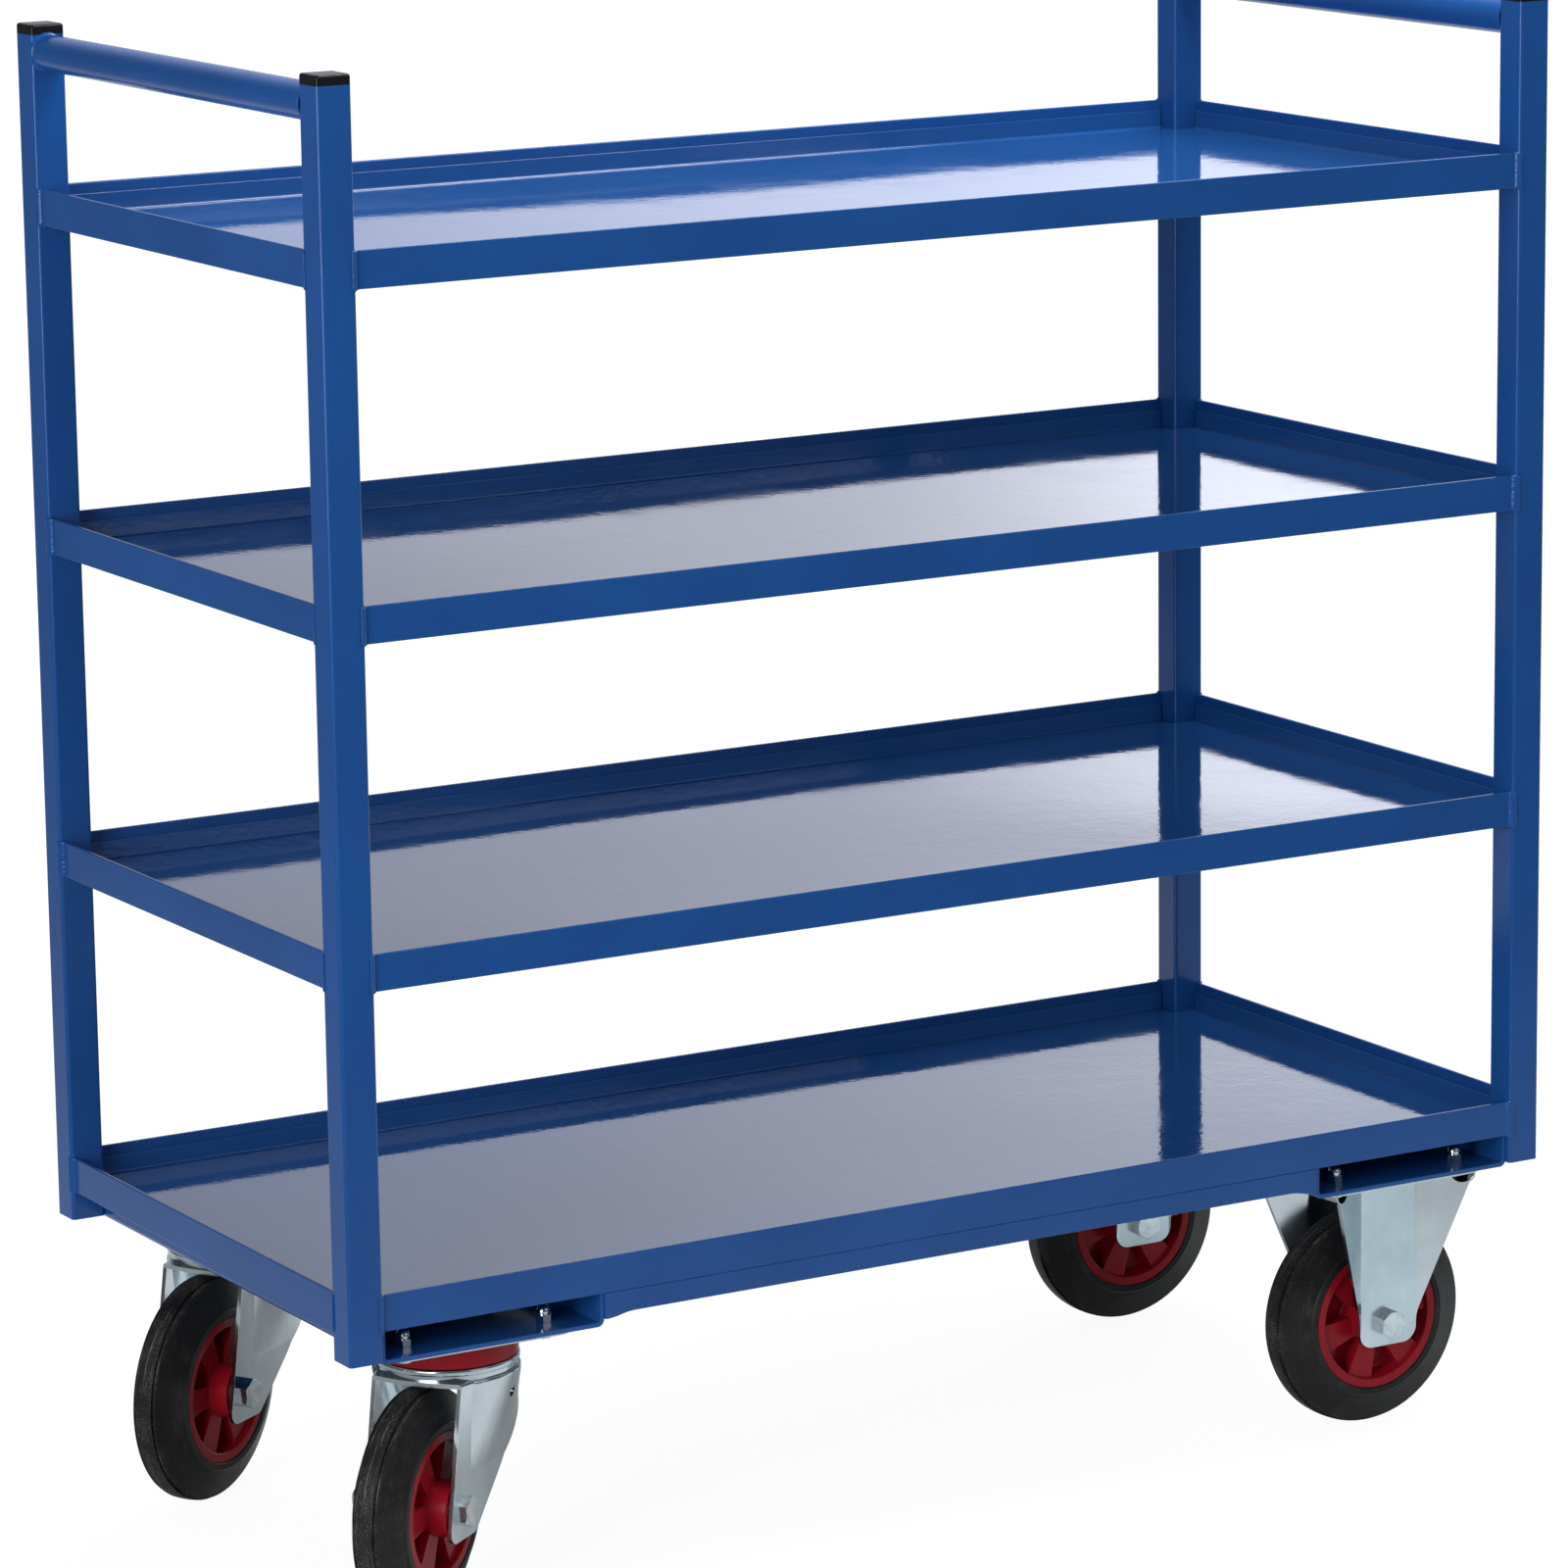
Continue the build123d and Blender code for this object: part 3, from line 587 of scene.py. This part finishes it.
def bolt_pocket(mesh, bolt, outward, side):
    """Half-round cup that the press leaves round a castor bolt: open in the wing, closed inside."""
    turns = [math.pi * (1 + k / pocket_steps) for k in range(pocket_steps + 1)]

    def point(turn, radius, depth):
        x = bolt.x + outward * radius * math.cos(turn)
        return mesh.verts.new((x, bolt.y + side * depth, bolt.z + radius * math.sin(turn)))

    def mouth(turn, radius):
        return point(turn, radius, wing_reach + wing_lean * radius * math.cos(turn))

    outside = pocket_radius + pocket_sheet
    rings = []
    for turn in turns:
        rings.append([
            mouth(turn, pocket_radius),
            mouth(turn, outside),
            point(turn, outside, pocket_back),
            point(turn, pocket_radius, pocket_back),
        ])
    for first, second in zip(rings, rings[1:]):
        join_rings(mesh, first, second)
    mesh.faces.new(rings[0])
    mesh.faces.new(rings[-1])

    wall_radius = pocket_radius + pocket_sheet / 2
    wall = [point(turn, wall_radius, pocket_back) for turn in turns]
    wall_front = [point(turn, wall_radius, pocket_back + pocket_sheet) for turn in turns]
    mesh.faces.new(wall)
    mesh.faces.new(wall_front)
    join_rings(mesh, wall, wall_front)


for name in ("front", "back"):
    lowest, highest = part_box(f"fixed_bracket_{name}")
    middle = (lowest + highest) / 2
    pockets = bmesh.new()
    for bolt_x, outward in ((lowest.x + bracket_bolt_inset, -1), (highest.x - bracket_bolt_inset, 1)):
        bolt = Vector((bolt_x, middle.y, highest.z - bracket_plate))
        for side in (-1, 1):
            bolt_pocket(pockets, bolt, outward, side)
    soften(finish_piece(f"bolt_pockets_{name}", pockets, "zinc_sheet"), pocket_edge)


# Studio

white = (1.0, 1.0, 1.0)

backdrop_way = (0.51, 0.86, 0.0)
backdrop_right = (0.86, -0.51, 0.0)
backdrop_fade = (0.05, 0.80)
backdrop_left_edge = (-0.75, -0.25)
backdrop_step = (-0.14, 0.14)
backdrop_dim = 0.73
backdrop_bright = 1.68
backdrop_white = (0.88, 0.90, 1.0)
window_gain = 0.55
window_height = 0.18
window_upper_edge = (0.065, 0.02)
window_left_edge = (0.0, 0.075)
room_light = 0.34
room_shine = 0.10

floor_size = 60.0
floor_paper = (0.63, 0.63, 0.64, 1.0)
floor_glow = 0.78
floor_near, floor_near_white = 0.8, 1.19
floor_far, floor_far_white = 4.0, 1.33

shine_low = 0.10
shine_high = 0.95
shine_front = (-1.7, -0.5)
shine_left = (-1.8, 0.2)
shine_left_share = 0.06
shine_right = (0.9, 0.3)
shine_right_share = 1.2
shine_right_tint = (0.88, 0.97, 1.0)
shine_tint_edge = (0.1, 0.6)
shade_half_length = (0.60, 0.40)
shade_half_width = (0.28, 0.10)
shade_depth = 0.7


def studio_world():
    """White to the eye; to the lit pieces, a bright backdrop behind and a dimmer room in front."""
    world = bpy.data.worlds.new("studio")
    world.use_nodes = True
    bpy.context.scene.world = world
    tree = world.node_tree
    way = add(tree, "TexCoord").outputs["Generated"]
    behind = dot(tree, way, backdrop_way)
    beside = dot(tree, way, backdrop_right)
    up = add(tree, "SeparateXYZ", {0: way}).outputs["Z"]

    left_edge = ramp(tree, beside, *backdrop_left_edge)
    share = math_node(tree, "MULTIPLY", ramp(tree, behind, *backdrop_fade), left_edge)
    backdrop = line(tree, ramp(tree, beside, *backdrop_step), backdrop_dim, backdrop_bright)
    off_window = math_node(tree, "ABSOLUTE", math_node(tree, "SUBTRACT", up, window_height))
    window = ramp(tree, off_window, *window_upper_edge)
    window = math_node(tree, "MULTIPLY", window, ramp(tree, beside, *window_left_edge))
    backdrop = math_node(tree, "MULTIPLY", backdrop, scaled(tree, window, window_gain, 1.0))

    rays = add(tree, "LightPath").outputs
    room = line(tree, rays["Is Glossy Ray"], room_light, room_shine)
    level = line(tree, share, room, backdrop)
    colour = mix_colour(tree, rays["Is Glossy Ray"], white, backdrop_white)
    background = tree.nodes["Background"]
    tree.links.new(colour, background.inputs["Color"])
    tree.links.new(line(tree, rays["Is Camera Ray"], level, 1.0), background.inputs["Strength"])


def floor_shine(tree, point):
    """The paper in reflections, as a painted glow: fainter to the front and to the left, a painted
    shadow beneath the trolley, and painted brighter, bluer light to the right.
    """
    place = add(tree, "SeparateXYZ", {0: point}).outputs
    front = ramp(tree, place["Y"], *shine_front)
    left = ramp(tree, place["X"], *shine_left, start=shine_left_share)
    right = ramp(tree, place["X"], *shine_right, start=shine_right_share)
    paper = math_node(tree, "MULTIPLY", front, math_node(tree, "MULTIPLY", left, right))
    # Painted shadow of the trolley on the paper as metal reflects it.
    along = ramp(tree, math_node(tree, "ABSOLUTE", place["X"]), *shade_half_length)
    across = ramp(tree, math_node(tree, "ABSOLUTE", place["Y"]), *shade_half_width)
    beneath = math_node(tree, "MULTIPLY", along, across)
    paper = math_node(tree, "MULTIPLY", paper, scaled(tree, beneath, -shade_depth, 1.0))
    # Painted bluish tint of the reflected light to the right.
    tint = mix_colour(tree, ramp(tree, place["X"], *shine_tint_edge), white, shine_right_tint)
    level = line(tree, paper, shine_low, shine_high)
    return add(tree, "Emission", {"Color": tint, "Strength": level}).outputs[0]


def studio_floor():
    """White paper: partly self-lit to the eye, so it keeps the shadow but not the lamps' falloff."""
    bpy.ops.mesh.primitive_plane_add(size=floor_size, location=(0, 0, 0))
    floor = bpy.context.object
    floor.name = "studio_floor"
    material = bpy.data.materials.new("studio_floor")
    material.use_nodes = True
    tree = material.node_tree
    tree.nodes.remove(tree.nodes["Principled BSDF"])
    rays = add(tree, "LightPath").outputs
    point = add(tree, "NewGeometry").outputs["Position"]
    away = add(tree, "VectorMath", {0: point}, operation="LENGTH").outputs["Value"]
    matt = add(tree, "BsdfDiffuse", {"Color": floor_paper}).outputs[0]
    level = line(tree, away, floor_near_white, floor_far_white, low=floor_near, high=floor_far)
    glow = add(tree, "Emission", {"Color": (*white, 1.0), "Strength": level}).outputs[0]
    eye = math_node(tree, "MAXIMUM", rays["Is Camera Ray"], rays["Is Transmission Ray"])
    to_eye = add(tree, "MixShader", {0: scaled(tree, eye, floor_glow), 1: matt, 2: glow}).outputs[0]
    shine = floor_shine(tree, point)
    mixed = add(tree, "MixShader", {0: rays["Is Glossy Ray"], 1: to_eye, 2: shine}).outputs[0]
    tree.links.new(mixed, tree.nodes["Material Output"].inputs["Surface"])
    floor.data.materials.append(material)


def softbox(name, place, target, size, radiance):
    """Rectangular lamp that looks at a point; radiance 1 is as bright as the white surroundings."""
    lamp = bpy.data.lights.new(name, "AREA")
    lamp.shape = "RECTANGLE"
    lamp.size, lamp.size_y = size
    lamp.energy = radiance * math.pi * size[0] * size[1]
    holder = bpy.data.objects.new(name, lamp)
    holder.location = place
    holder.rotation_euler = (Vector(target) - Vector(place)).to_track_quat("-Z", "Y").to_euler()
    holder.visible_camera = False
    bpy.context.scene.collection.objects.link(holder)


studio_world()
studio_floor()
softbox("left_softbox", (-3.2, -1.9, 1.2), (0, 0, 0.6), (1.6, 2.0), 7.8)
softbox("top_softbox", (0.4, -0.25, 2.3), (0.1, 0.1, 0.9), (1.4, 0.5), 15.0)
softbox("front_softbox", (1.6, -4.2, 2.4), (0, 0, 0.6), (2.4, 1.8), 1.2)


# Camera

camera_place = Vector((-2.3450, -3.9611, 1.4500))
camera_azimuth = math.radians(-30.485)
camera_elevation = math.radians(11.801)
camera_roll = math.radians(-0.744)
camera_lens_mm = 152.894
camera_sensor_mm = 36.0


def photo_camera():
    """Camera at the photograph's angle, slightly rolled."""
    reach = math.cos(camera_elevation)
    back = Vector((math.sin(camera_azimuth) * reach, -math.cos(camera_azimuth) * reach,
                   math.sin(camera_elevation)))
    level = Vector((0, 0, 1)).cross(back).normalized()
    up = back.cross(level)
    right = level * math.cos(camera_roll) + up * math.sin(camera_roll)
    top = up * math.cos(camera_roll) - level * math.sin(camera_roll)
    data = bpy.data.cameras.new("photo_camera")
    data.sensor_width = camera_sensor_mm
    data.lens = camera_lens_mm
    data.clip_end = 100.0
    camera = bpy.data.objects.new("photo_camera", data)
    turn = Matrix((right, top, back)).transposed().to_4x4()
    camera.matrix_world = Matrix.Translation(camera_place) @ turn
    bpy.context.scene.collection.objects.link(camera)
    bpy.context.scene.camera = camera


photo_camera()
bpy.context.scene.view_settings.view_transform = "Standard"
